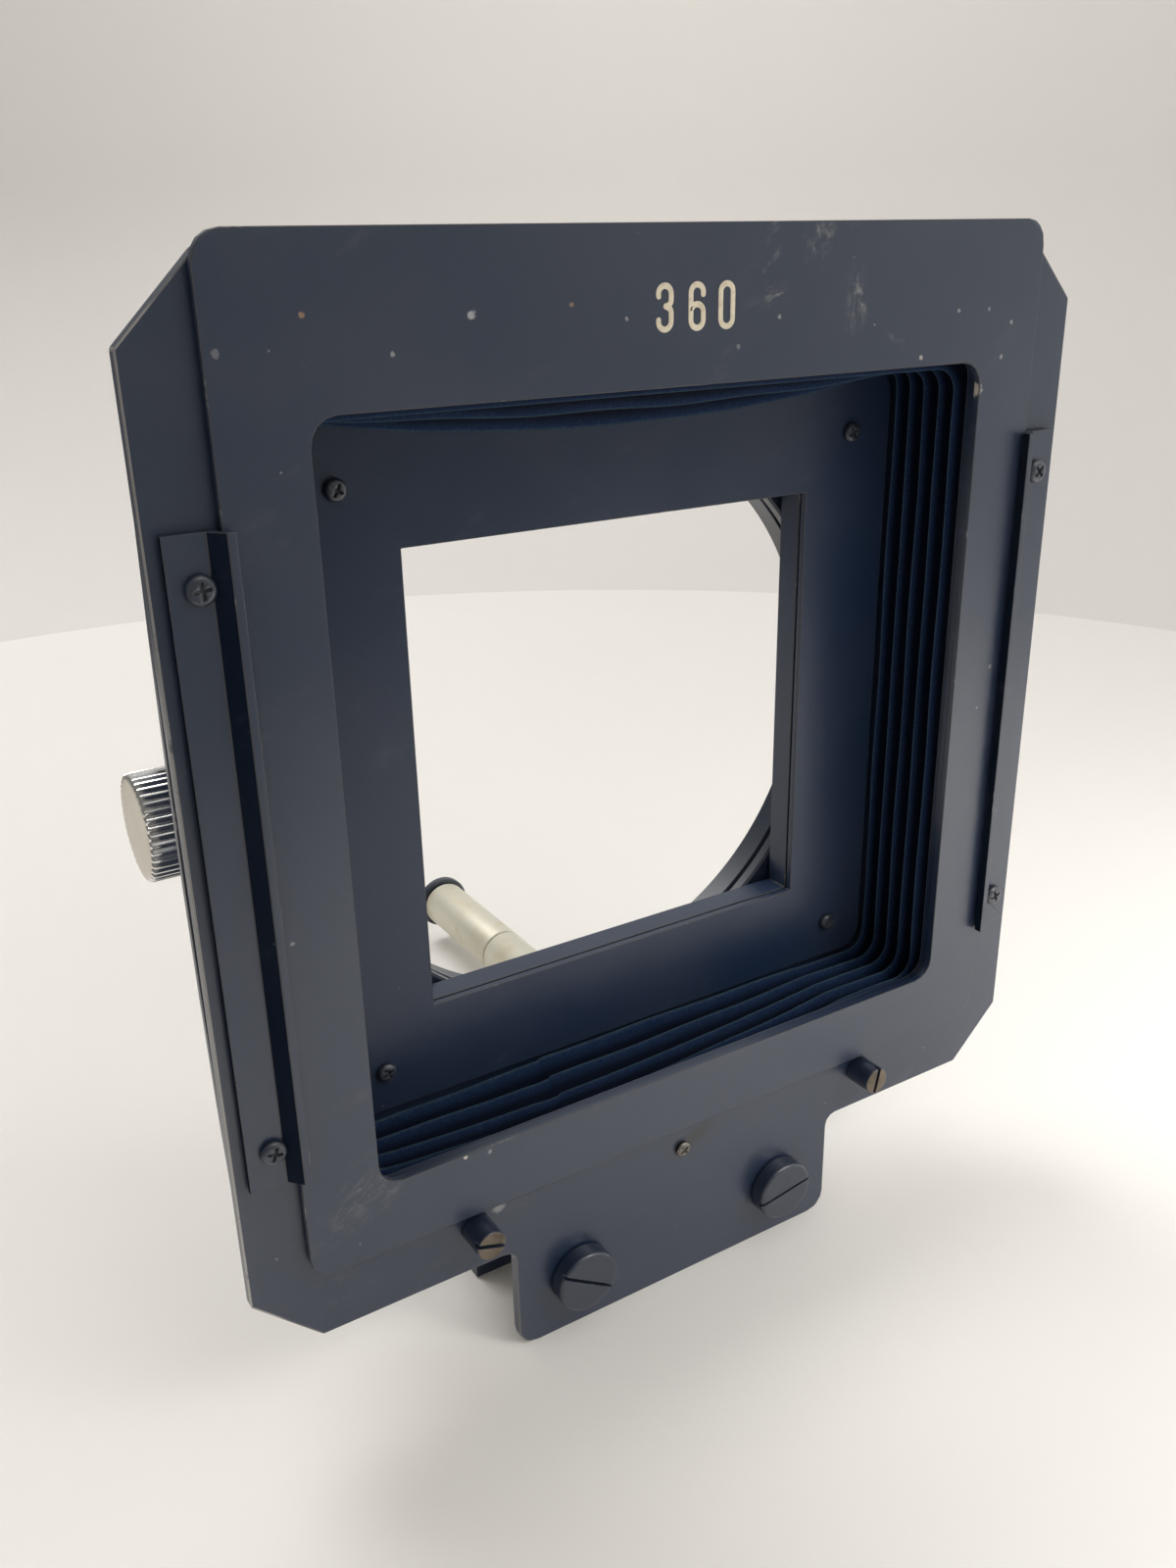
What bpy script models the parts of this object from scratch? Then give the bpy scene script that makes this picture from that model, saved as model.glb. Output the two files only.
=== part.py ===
"""Adjustable bellows lens hood (compendium shade) for a medium-format camera.

A front frame with a drop-in mask rides on two rods that slide through a carriage
under the rear frame.  A pleated bellows joins the two frames, and a rotating
adapter ring, held by a clamp knob, fits the hood to the lens.

Frame: +X is to the right as seen from in front of the mask, +Y points back
towards the camera body, +Z is up.  The origin is on the floor under the middle.
"""

import math

import bmesh
import bpy
from mathutils import Matrix, Vector

MM = 0.001
GAP = 0.3  # clearance between neighbouring pieces, as are all sizes here, in mm

# ---------------------------------------------------------------- driving sizes
MASK_FRONT_Y = -51.2      # front face of the mask
MASK_BOTTOM_Z = 23.8      # lower edge of the mask above the floor
AXIS_Z = MASK_BOTTOM_Z + 47.9  # lens axis above the floor

MASK_WIDTH = 100.0
MASK_HEIGHT = 105.9
MASK_THICK = 0.9
MASK_CORNER = 2.8
WINDOW_HALF = 41.3        # half width of the mask's window
WINDOW_LOW = 8.75         # window's lower edge above the mask's lower edge
WINDOW_HIGH = 90.5
WINDOW_CORNER = 2.7

FRAME_HALF = 56.7         # front frame
FRAME_TOP = 104.5         # heights are above the mask's lower edge
FRAME_LOW = -8.65
FRAME_CHAMFER = 7.6
FRAME_THICK = 1.5
TAB_HALF = 24.6
TAB_CORNER = 2.6

BACKING_THICK = 1.0
BACKING_BOW = 0.8         # how far the backing's sides bulge
STRIP_LOW = 13.8
STRIP_HIGH = 81.8
STRIP_SCREW_X = 52.5
STRIP_SCREW_Z = (18.2, 76.9)
PIN_X = 29.7              # stop pins under the mask
PIN_Z = -2.6
PIN_TURN = {-1: -18.0, 1: 78.0}        # degrees of each slot from the horizontal
CENTRE_SCREW_Z = -3.8

ROD_RADIUS = 4.15
ROD_X = 15.73
ROD_Z = -16.0
ROD_JOINT = 79.2          # distance of the joint between the rod's sections
ROD_END = 103.5
ROD_SCREW_SHANK = 2.0
ROD_SCREW_TURN = {-1: -33.0, 1: 9.0}

REAR_FACE = 13.9          # aperture plate's face behind the mask's face
APERTURE_HALF = 27.4
APERTURE_Z = 47.6
PLATE_HALF = 40.6
PLATE_THICK = 0.9
PLATE_SCREW = 34.2
REAR_HALF = 48.5
REAR_THICK = 3.5

BORE_RADIUS = 36.5        # adapter ring
THREAD_RADIUS = 38.5
FLANGE_RADIUS = 42.0
HOUSING_RADIUS = 47.5
HOUSING_DEPTH = 4.6
HOUSING_SCREWS = (60, 120, 240, 300)   # degrees round the lens axis
KNOB_RADIUS = 5.92
KNOB_FACE = -56.8
KNOB_LENGTH = 6.6
KNOB_FLUTES = 48
CLAMP_RADIUS = 1.5        # clamp screw and shoe
SHOE_LENGTH = 1.4
CLAMP_DEPTH = 20.95       # clamp screw's axis behind the mask's face

CARRIAGE_HALF = 23.5
CARRIAGE_HIGH = -6.0
CARRIAGE_LENGTH = 20.0
CARRIAGE_SCREW_X = 5.5
CARRIAGE_SCREW_Z = -10.5
BUSH_RADIUS = 5.0
BUSH_LENGTH = 6.0
PAD_RADIUS = 2.0          # friction pads between the rods
PAD_LENGTH = 4.0

BELLOWS_FOLDS = 5         # inner folds
BELLOWS_INNER = 41.0
BELLOWS_OUTER = 48.0
BELLOWS_WALL = 2.85       # radial distance between the cloth's two sides at a fold
BELLOWS_Z = 48.6
CUFF_HALF = 47.0          # opening in the backing that the bellows' cuff fills

# ------------------------------------------- planes derived from the sizes above
FLOOR = -MASK_BOTTOM_Z    # the tab and the carriage both stand on the floor
AXIS = AXIS_Z - MASK_BOTTOM_Z
FRAME_Y = MASK_THICK + GAP
FRAME_BACK = FRAME_Y + FRAME_THICK
BACKING_Y = FRAME_BACK + GAP
BACKING_BACK = BACKING_Y + BACKING_THICK
REAR_Y = REAR_FACE + PLATE_THICK + GAP
REAR_BACK = REAR_Y + REAR_THICK
HOUSING_Y = REAR_BACK + GAP
CARRIAGE_Y = REAR_BACK + GAP
CARRIAGE_BACK = CARRIAGE_Y + CARRIAGE_LENGTH
PAD_DEPTH = CARRIAGE_Y + CARRIAGE_LENGTH / 2
PAD_OUT = ROD_X - ROD_RADIUS - GAP     # where a pad's face meets its rod

# name: (colour, roughness, metallic)
MATERIALS = {
    "black_paint": ((0.045, 0.052, 0.062), 0.42, 0.0),
    "black_anodised": ((0.030, 0.034, 0.042), 0.38, 0.6),
    "black_steel": ((0.028, 0.028, 0.030), 0.35, 0.9),
    "chrome": ((0.78, 0.77, 0.73), 0.16, 1.0),
    "satin_chrome": ((0.70, 0.69, 0.66), 0.28, 1.0),
    "worn_brass": ((0.46, 0.36, 0.22), 0.40, 0.9),
    "brass": ((0.62, 0.45, 0.20), 0.35, 1.0),
    "spring_steel": ((0.55, 0.55, 0.56), 0.30, 1.0),
    "bellows_cloth": ((0.018, 0.022, 0.032), 0.72, 0.0),
    "nylon": ((0.75, 0.72, 0.64), 0.50, 0.0),
}


# ------------------------------------------------------------------ scene helpers
def clear_scene():
    for old in list(bpy.data.objects):
        bpy.data.objects.remove(old, do_unlink=True)


def material(key):
    """Return the Principled material of that name, made on first use."""
    found = bpy.data.materials.get(key)
    if found:
        return found
    colour, roughness, metallic = MATERIALS[key]
    made = bpy.data.materials.new(key)
    made.use_nodes = True
    shader = made.node_tree.nodes["Principled BSDF"]
    shader.inputs["Base Color"].default_value = (*colour, 1.0)
    shader.inputs["Roughness"].default_value = roughness
    shader.inputs["Metallic"].default_value = metallic
    return made


def add_object(name, mesh, look, place=(0.0, 0.0, 0.0)):
    """Link a mesh as the named piece; place is its origin, in mm."""
    piece = bpy.data.objects.new(name, mesh)
    piece.location = Vector(place) * MM
    bpy.context.scene.collection.objects.link(piece)
    if not mesh.materials:
        mesh.materials.append(material(look))
    return piece


def finish_mesh(bm, name, round_piece=False):
    """Scale a bmesh from mm to metres and store it with outward faces."""
    bmesh.ops.recalc_face_normals(bm, faces=bm.faces[:])
    bmesh.ops.scale(bm, vec=(MM, MM, MM), verts=bm.verts[:])
    mesh = bpy.data.meshes.new(name)
    bm.to_mesh(mesh)
    bm.free()
    if round_piece:
        mesh.shade_smooth()
        mesh.set_sharp_from_angle(angle=math.radians(35))
    return mesh


def add_parent(name, place):
    """An empty on a joint's axis, for the pieces that turn or slide together."""
    empty = bpy.data.objects.new(name, None)
    empty.location = Vector(place) * MM
    bpy.context.scene.collection.objects.link(empty)
    return empty


def attach(piece, parent):
    piece.parent = parent
    piece.location = piece.location - parent.location


def depth(distance):
    """World Y of a distance behind the mask's front face."""
    return MASK_FRONT_Y + distance


def height(above):
    """World Z of a height above the mask's lower edge."""
    return MASK_BOTTOM_Z + above


# -------------------------------------------------------------------- 2D outlines
def arc(cx, cz, radius, start, stop, steps):
    """Points of an arc, angles in degrees, both ends included."""
    points = []
    for i in range(steps + 1):
        a = math.radians(start + (stop - start) * i / steps)
        points.append((cx + radius * math.cos(a), cz + radius * math.sin(a)))
    return points


def circle(cx, cz, radius, steps=20):
    return arc(cx, cz, radius, 0.0, 360.0, steps)[:-1]


def rounded_rect(x0, x1, z0, z1, radius, steps=4):
    corners = ((x1, z0, -90), (x1, z1, 0), (x0, z1, 90), (x0, z0, 180))
    points = []
    for x, z, start in corners:
        cx = x - math.copysign(radius, x - (x0 + x1) / 2)
        cz = z - math.copysign(radius, z - (z0 + z1) / 2)
        points += arc(cx, cz, radius, start, start + 90, steps)
    return points


def mirrored(right_side):
    """Close an outline from the points of its right half, listed bottom to top."""
    return right_side + [(-x, z) for x, z in reversed(right_side)]


# --------------------------------------------------------------------- 3D builders
def slab(name, outline, holes, front, back, look):
    """A plate in the XZ plane with through holes, between two depths."""
    bm = bmesh.new()
    for loop in [outline] + holes:
        ring = [bm.verts.new((x, depth(front), height(z))) for x, z in loop]
        for i, vert in enumerate(ring):
            bm.edges.new((vert, ring[(i + 1) % len(ring)]))
    bmesh.ops.triangle_fill(bm, use_beauty=True, edges=bm.edges[:])
    grown = bmesh.ops.extrude_face_region(bm, geom=bm.faces[:])
    moved = [item for item in grown["geom"] if isinstance(item, bmesh.types.BMVert)]
    bmesh.ops.translate(bm, verts=moved, vec=(0.0, back - front, 0.0))
    return add_object(name, finish_mesh(bm, name), look)


def block(name, x, front, back, low, high, look):
    """A plain box, x to each side of the middle, between two depths and heights."""
    bm = bmesh.new()
    bmesh.ops.create_cube(bm, size=1.0)
    bmesh.ops.scale(bm, vec=(2 * x, back - front, high - low), verts=bm.verts[:])
    middle = (0.0, depth((front + back) / 2), height((low + high) / 2))
    bmesh.ops.translate(bm, vec=middle, verts=bm.verts[:])
    return add_object(name, finish_mesh(bm, name), look)


def lathe_mesh(name, profile, steps=24, radius_at=None):
    """Turn (radius, along) points about +Z; a profile off the axis is closed.

    radius_at(radius, step) may change a ring's radius from step to step.
    """
    bm = bmesh.new()
    rings = []
    for radius, along in profile:
        if radius == 0.0:
            rings.append([bm.verts.new((0.0, 0.0, along))])
            continue
        ring = []
        for i in range(steps):
            r = radius_at(radius, i) if radius_at else radius
            a = 2 * math.pi * i / steps
            ring.append(bm.verts.new((r * math.cos(a), r * math.sin(a), along)))
        rings.append(ring)
    pairs = list(zip(rings, rings[1:]))
    if len(rings[0]) > 1:
        pairs.append((rings[-1], rings[0]))
    for lower, upper in pairs:
        for i in range(steps):
            j = (i + 1) % steps
            corners = [lower[i % len(lower)], lower[j % len(lower)],
                       upper[j % len(upper)], upper[i % len(upper)]]
            bm.faces.new(list(dict.fromkeys(corners)))
    return finish_mesh(bm, name, round_piece=True)


def turn_to(mesh, axis):
    """Point a lathe mesh's +Z along a world axis."""
    quarter = {"y": Matrix.Rotation(-math.pi / 2, 4, "X"),
               "-x": Matrix.Rotation(-math.pi / 2, 4, "Y"),
               "x": Matrix.Rotation(math.pi / 2, 4, "Y")}
    mesh.transform(quarter[axis])
    return mesh


def cutter_box(name, size, place, angle=0.0):
    """A hidden box, turned about Y, that cuts a slot."""
    bm = bmesh.new()
    bmesh.ops.create_cube(bm, size=1.0)
    bmesh.ops.scale(bm, vec=size, verts=bm.verts[:])
    bmesh.ops.rotate(bm, cent=(0, 0, 0), verts=bm.verts[:],
                     matrix=Matrix.Rotation(-math.radians(angle), 3, "Y"))
    box = add_object(name, finish_mesh(bm, name), "black_steel", place)
    return hide_cutter(box)


def cutter_rod(name, radius, length, place, axis="y", steps=20):
    """A hidden cylinder from its place along an axis, that cuts a hole."""
    mesh = lathe_mesh(name, [(0.0, 0.0), (radius, 0.0), (radius, length), (0.0, length)],
                      steps)
    rod = add_object(name, turn_to(mesh, axis), "black_steel", place)
    return hide_cutter(rod)


def hide_cutter(piece):
    piece.hide_render = True
    piece.display_type = "WIRE"
    return piece


def cut(piece, cutters):
    for tool in cutters:
        step = piece.modifiers.new(tool.name, "BOOLEAN")
        step.operation = "DIFFERENCE"
        step.solver = "EXACT"
        step.object = tool
    return piece


# ---------------------------------------------------------------------- fasteners
def pan_screw(name, x, z, seat, head_radius, head, shank_radius, shank, look, turn=0.0):
    """A cross-head screw along Y, its head in front of the seat depth."""
    seat = seat - GAP
    profile = [(0.0, -head), (head_radius * 0.55, -head), (head_radius * 0.9, -head * 0.72),
               (head_radius, -head * 0.3), (head_radius, 0.0), (shank_radius, 0.0),
               (shank_radius, shank), (0.0, shank)]
    mesh = turn_to(lathe_mesh(name, profile, 12), "y")
    place = (x, depth(seat), height(z))
    screw = add_object(name, mesh, look, place)
    arm = head_radius * 1.05
    recess = (x, depth(seat - head), height(z))
    bars = [cutter_box(f"{name}_cross_{k}", (arm, head, arm * 0.26), recess, turn + 90 * k)
            for k in (0, 1)]
    return cut(screw, bars)


def slotted_screw(name, x, z, seat, head_radius, head, shank_radius, shank, look, slot,
                  turn=0.0, bevel=0.4, steps=28):
    """A cheese-head screw along Y with one straight slot of the given width."""
    seat = seat - GAP
    profile = [(0.0, -head), (head_radius - bevel, -head), (head_radius, bevel - head),
               (head_radius, 0.0), (shank_radius, 0.0), (shank_radius, shank), (0.0, shank)]
    mesh = turn_to(lathe_mesh(name, profile, steps), "y")
    screw = add_object(name, mesh, look, (x, depth(seat), height(z)))
    bar = cutter_box(f"{name}_slot", (head_radius * 3, head * 0.8, slot),
                     (x, depth(seat - head), height(z)), turn)
    return cut(screw, [bar])


# ------------------------------------------------------------------ front assembly
def window_outline(grow=0.0):
    return rounded_rect(-WINDOW_HALF - grow, WINDOW_HALF + grow, WINDOW_LOW - grow,
                        WINDOW_HIGH + grow, WINDOW_CORNER)


def build_mask():
    outline = rounded_rect(-MASK_WIDTH / 2, MASK_WIDTH / 2, 0.0, MASK_HEIGHT, MASK_CORNER)
    return slab("mask_plate", outline, [window_outline()], 0.0, MASK_THICK, "black_paint")


def front_holes():
    """Screw holes through the front frame and its backing."""
    holes = [circle(side * STRIP_SCREW_X, z, 0.8 + GAP, 12)
             for side in (-1, 1) for z in STRIP_SCREW_Z]
    holes += [circle(side * PIN_X, PIN_Z, 1.0 + GAP, 12) for side in (-1, 1)]
    holes.append(circle(0.0, CENTRE_SCREW_Z, 0.6 + GAP, 12))
    return holes


def build_front_frame():
    fillet = 1.6
    right = arc(TAB_HALF - TAB_CORNER, FLOOR + TAB_CORNER, TAB_CORNER, -90, 0, 4)
    right += arc(TAB_HALF + fillet, FRAME_LOW - fillet, fillet, 180, 90, 3)
    right += [(FRAME_HALF - FRAME_CHAMFER, FRAME_LOW), (FRAME_HALF, FRAME_LOW + FRAME_CHAMFER),
              (FRAME_HALF, FRAME_TOP - FRAME_CHAMFER), (FRAME_HALF - FRAME_CHAMFER, FRAME_TOP)]
    rods = [circle(side * ROD_X, ROD_Z, ROD_SCREW_SHANK + GAP) for side in (-1, 1)]
    holes = [window_outline(0.7)] + front_holes() + rods
    return slab("front_frame", mirrored(right), holes, FRAME_Y, FRAME_BACK, "black_paint")


def build_backing_frame():
    inset, steps = 0.6, 8
    low, high = FRAME_LOW + inset, FRAME_TOP - inset
    end_low, end_high = low + FRAME_CHAMFER, high - FRAME_CHAMFER
    right = [(FRAME_HALF - FRAME_CHAMFER, low)]
    for i in range(steps + 1):
        t = i / steps
        bulge = BACKING_BOW * (1 - (2 * t - 1) ** 2)
        right.append((FRAME_HALF - inset + bulge - 0.1, end_low + (end_high - end_low) * t))
    right.append((FRAME_HALF - FRAME_CHAMFER, high))
    hole = rounded_rect(-CUFF_HALF, CUFF_HALF, BELLOWS_Z - CUFF_HALF, BELLOWS_Z + CUFF_HALF, 5.5)
    return slab("backing_frame", mirrored(right), [hole] + front_holes(), BACKING_Y,
                BACKING_BACK, "black_paint")


def build_guide_strip(name, side):
    """A stepped bar: its base is screwed down and its lip overlaps the mask."""
    edge = MASK_WIDTH / 2
    section = [(edge + 5.3, FRAME_Y - GAP), (edge + GAP, FRAME_Y - GAP), (edge + GAP, -GAP),
               (edge - 0.8, -GAP), (edge - 0.8, -1.4), (edge, -1.4), (edge + 1.4, 0.2),
               (edge + 5.3, 0.2)]
    bm = bmesh.new()
    foot = [bm.verts.new((side * x, depth(y), height(STRIP_LOW))) for x, y in section]
    grown = bmesh.ops.extrude_face_region(bm, geom=[bm.faces.new(foot)])
    moved = [item for item in grown["geom"] if isinstance(item, bmesh.types.BMVert)]
    bmesh.ops.translate(bm, verts=moved, vec=(0.0, 0.0, STRIP_HIGH - STRIP_LOW))
    strip = add_object(name, finish_mesh(bm, name), "black_paint")
    drills = [cutter_rod(f"{name}_hole_{i}", 0.8 + GAP, 4.0,
                         (side * STRIP_SCREW_X, depth(-2.0), height(z)), steps=12)
              for i, z in enumerate(STRIP_SCREW_Z)]
    return cut(strip, drills)


def build_front_fasteners():
    pieces = []
    for side, word in ((-1, "left"), (1, "right")):
        for z, level in zip(STRIP_SCREW_Z, ("lower", "upper")):
            pieces.append(pan_screw(f"strip_screw_{level}_{word}", side * STRIP_SCREW_X, z, 0.2,
                                    1.4, 0.55, 0.8, 3.6, "black_steel", 20 * side))
        pieces.append(slotted_screw(f"stop_pin_{word}", side * PIN_X, PIN_Z, FRAME_Y, 1.85, 3.8,
                                    1.0, 2.8, "worn_brass", 0.5, PIN_TURN[side], 0.2, 20))
        pieces.append(slotted_screw(f"rod_screw_{word}", side * ROD_X, ROD_Z, FRAME_Y, 4.15,
                                    2.2, ROD_SCREW_SHANK, 9.0, "black_anodised", 0.45,
                                    ROD_SCREW_TURN[side]))
    pieces.append(pan_screw("centre_screw", 0.0, CENTRE_SCREW_Z, FRAME_Y, 1.05, 0.35, 0.6, 2.6,
                            "worn_brass", 35))
    return pieces


def build_rod(side, word):
    """One rod in two sections that screw together, and its end stop."""
    bore = ROD_SCREW_SHANK + GAP
    start, joint = BACKING_Y, ROD_JOINT
    front = [(0.0, 9.0), (bore, 9.0), (bore, 0.0), (ROD_RADIUS - 0.3, 0.0),
             (ROD_RADIUS, 0.3), (ROD_RADIUS, joint - start - 0.3),
             (ROD_RADIUS - 0.3, joint - start), (bore, joint - start),
             (bore, joint - start - 7.0), (0.0, joint - start - 7.0)]
    length = ROD_END - joint - GAP
    rear = [(0.0, -6.0), (2.0, -6.0), (2.0, 0.0), (ROD_RADIUS - 0.3, 0.0), (ROD_RADIUS, 0.3),
            (ROD_RADIUS, length), (1.8, length), (1.8, length - 7.0), (0.0, length - 7.0)]
    stop = [(0.0, -6.0), (1.5, -6.0), (1.5, 0.0), (4.9, 0.0), (4.9, 1.2), (4.6, 1.5),
            (0.0, 1.5)]
    for stem, profile, at, look in (("rod", front, start, "satin_chrome"),
                                    ("rod_extension", rear, joint + GAP, "satin_chrome"),
                                    ("rod_stop", stop, ROD_END + GAP, "black_anodised")):
        name = f"{stem}_{word}"
        mesh = turn_to(lathe_mesh(name, profile, 24), "y")
        yield add_object(name, mesh, look, (side * ROD_X, depth(at), height(ROD_Z)))


# ------------------------------------------------------------------------- bellows
def bellows_ring(bm, half, along):
    """A rounded square ring of cloth at one depth."""
    corner = 3.0 + (half - BELLOWS_INNER) * 0.35
    outline = rounded_rect(-half, half, BELLOWS_Z - half, BELLOWS_Z + half, corner, 3)
    return [bm.verts.new((x, depth(along), height(z))) for x, z in outline]


def build_bellows():
    """The pleated sleeve at its rest length, one sheet thick all round."""
    first, last = BACKING_Y + 0.9, REAR_FACE - 0.5
    pitch = (last - first) / (BELLOWS_FOLDS - 1)
    cuff_in, cuff_out = CUFF_HALF - 2.1, CUFF_HALF - 0.4
    inside = [(cuff_in, BACKING_Y)]
    outside = [(cuff_out, BACKING_Y)]
    for fold in range(BELLOWS_FOLDS):
        along = first + fold * pitch
        inside.append((BELLOWS_INNER, along))
        outside.append((BELLOWS_INNER + BELLOWS_WALL, along))
        if fold < BELLOWS_FOLDS - 1:
            inside.append((BELLOWS_OUTER - BELLOWS_WALL, along + pitch / 2))
            outside.append((BELLOWS_OUTER, along + pitch / 2))
    inside.append((cuff_in, REAR_Y - GAP))
    outside.append((cuff_out, REAR_Y - GAP))
    bm = bmesh.new()
    rings = [bellows_ring(bm, half, along) for half, along in inside + outside[::-1]]
    for ring, following in zip(rings, rings[1:] + rings[:1]):
        count = len(ring)
        for i in range(count):
            j = (i + 1) % count
            bm.faces.new((ring[i], ring[j], following[j], following[i]))
    return add_object("bellows", finish_mesh(bm, "bellows"), "bellows_cloth")


# --------------------------------------------------------------------- rear frame
def aperture_holes():
    """The square aperture and the four screw holes round it."""
    low, high = APERTURE_Z - APERTURE_HALF, APERTURE_Z + APERTURE_HALF
    square = [(-APERTURE_HALF, low), (APERTURE_HALF, low), (APERTURE_HALF, high),
              (-APERTURE_HALF, high)]
    screws = [circle(sx * PLATE_SCREW, APERTURE_Z + sz * PLATE_SCREW, 0.7 + GAP, 12)
              for sx in (-1, 1) for sz in (-1, 1)]
    return [square] + screws


def build_aperture_plate():
    edge = PLATE_HALF
    outline = rounded_rect(-edge, edge, BELLOWS_Z - edge, BELLOWS_Z + edge, 3.0, 3)
    return slab("aperture_plate", outline, aperture_holes(), REAR_FACE,
                REAR_FACE + PLATE_THICK, "black_paint")


def housing_screw_points():
    radius = (FLANGE_RADIUS + HOUSING_RADIUS) / 2 + GAP / 2
    for degrees in HOUSING_SCREWS:
        a = math.radians(degrees)
        yield radius * math.cos(a), AXIS + radius * math.sin(a)


def build_rear_frame():
    edge, cut_off = REAR_HALF, 9.0
    right = [(CARRIAGE_HALF, FLOOR), (CARRIAGE_HALF, AXIS - edge),
             (edge - cut_off, AXIS - edge), (edge, AXIS - edge + cut_off),
             (edge, AXIS + edge - cut_off), (edge - cut_off, AXIS + edge)]
    holes = aperture_holes()
    holes += [circle(x, z, 0.9 + GAP, 12) for x, z in housing_screw_points()]
    holes += [circle(side * ROD_X, ROD_Z, ROD_RADIUS + 0.45, 24) for side in (-1, 1)]
    holes += [circle(side * CARRIAGE_SCREW_X, CARRIAGE_SCREW_Z, 1.0 + GAP, 12)
              for side in (-1, 1)]
    return slab("rear_frame", mirrored(right), holes, REAR_Y, REAR_BACK, "black_paint")


def build_ring_housing():
    """The collar that holds the adapter ring's flange against the rear frame."""
    lip, back = 3.4, HOUSING_DEPTH
    profile = [(FLANGE_RADIUS + GAP, 0.0), (HOUSING_RADIUS, 0.0), (HOUSING_RADIUS, back - 0.4),
               (HOUSING_RADIUS - 0.4, back), (THREAD_RADIUS + 0.5, back),
               (THREAD_RADIUS + 0.5, lip), (FLANGE_RADIUS + GAP, lip)]
    mesh = turn_to(lathe_mesh("ring_housing", profile, 48), "y")
    housing = add_object("ring_housing", mesh, "black_anodised", (0.0, depth(HOUSING_Y), AXIS_Z))
    drills = [cutter_rod(f"housing_hole_{i}", 0.9 + GAP, 8.0, (x, depth(HOUSING_Y - 1), height(z)),
                         steps=12) for i, (x, z) in enumerate(housing_screw_points())]
    drills.append(cutter_rod("clamp_hole", CLAMP_RADIUS + GAP, 10.0,
                             (1 - FLANGE_RADIUS, depth(CLAMP_DEPTH), AXIS_Z), "-x", 16))
    return cut(housing, drills)


def build_adapter_ring():
    """Flanged ring with the lens thread behind and a groove round its bore."""
    step, groove, end = 3.1, 1.9, 5.6
    profile = [(BORE_RADIUS, 0.3), (BORE_RADIUS + 0.3, 0.0), (FLANGE_RADIUS, 0.0),
               (FLANGE_RADIUS, step), (THREAD_RADIUS, step), (THREAD_RADIUS, end - 0.3),
               (THREAD_RADIUS - 0.3, end), (BORE_RADIUS, end), (BORE_RADIUS, groove + 0.4),
               (BORE_RADIUS + 0.6, groove + 0.2), (BORE_RADIUS + 0.6, groove - 0.2),
               (BORE_RADIUS, groove - 0.4)]
    mesh = turn_to(lathe_mesh("adapter_ring", profile, 56), "y")
    place = (0.0, depth(HOUSING_Y + GAP), AXIS_Z)
    return add_object("adapter_ring", mesh, "black_anodised", place)


def build_clamp():
    """Knurled knob with its screw, and the shoe that presses on the adapter ring."""
    barrel, bore = KNOB_LENGTH, CLAMP_RADIUS + GAP
    back = KNOB_FACE + barrel

    def flute(radius, step):
        return radius - (0.36 if step % 2 and radius > KNOB_RADIUS - 0.1 else 0.0)

    profile = [(0.0, 5.5), (bore, 5.5), (bore, -1.2), (3.4, -1.2), (3.4, 0.0),
               (KNOB_RADIUS - 0.7, 0.0), (KNOB_RADIUS, 0.3), (KNOB_RADIUS, barrel - 0.3),
               (KNOB_RADIUS - 0.7, barrel), (0.0, barrel)]
    axis_y = depth(CLAMP_DEPTH)
    joint = add_parent("knob_axis", (back, axis_y, AXIS_Z))
    mesh = turn_to(lathe_mesh("clamp_knob", profile, 2 * KNOB_FLUTES, flute), "-x")
    knob = add_object("clamp_knob", mesh, "chrome", (back, axis_y, AXIS_Z))
    attach(knob, joint)
    radius = CLAMP_RADIUS
    tip = -(FLANGE_RADIUS + 2 * GAP + SHOE_LENGTH)
    length = tip - (KNOB_FACE + 1.6)
    screw_mesh = lathe_mesh("clamp_screw", [(0.0, 0.0), (radius - 0.3, 0.0), (radius, 0.3),
                                            (radius, length), (0.0, length)], 16)
    screw = add_object("clamp_screw", turn_to(screw_mesh, "-x"), "spring_steel",
                       (tip, axis_y, AXIS_Z))
    attach(screw, joint)
    shoe_mesh = lathe_mesh("clamp_shoe", [(0.0, 0.0), (radius, 0.0), (radius, SHOE_LENGTH),
                                          (0.0, SHOE_LENGTH)], 16)
    add_object("clamp_shoe", turn_to(shoe_mesh, "-x"), "nylon",
               (-FLANGE_RADIUS - GAP, axis_y, AXIS_Z))


def build_carriage():
    """The block under the rear frame that the two rods slide through."""
    carriage = block("rod_carriage", CARRIAGE_HALF, CARRIAGE_Y, CARRIAGE_BACK, FLOOR,
                     CARRIAGE_HIGH, "black_paint")
    start, level = depth(CARRIAGE_Y - 1.0), height(ROD_Z)
    reach = ROD_X - BUSH_RADIUS + 2.0
    drills = [cutter_rod("pad_bore", PAD_RADIUS + GAP, 2 * reach,
                         (-reach, depth(PAD_DEPTH), level), "x", 16)]
    for side in (-1, 1):
        drills.append(cutter_rod(f"bush_bore_{side}", BUSH_RADIUS + GAP, CARRIAGE_LENGTH + 2.0,
                                 (side * ROD_X, start, level), steps=24))
        screw = (side * CARRIAGE_SCREW_X, start, height(CARRIAGE_SCREW_Z))
        drills.append(cutter_rod(f"carriage_tap_{side}", 1.0 + GAP, 9.0, screw, steps=12))
    return cut(carriage, drills)


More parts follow.
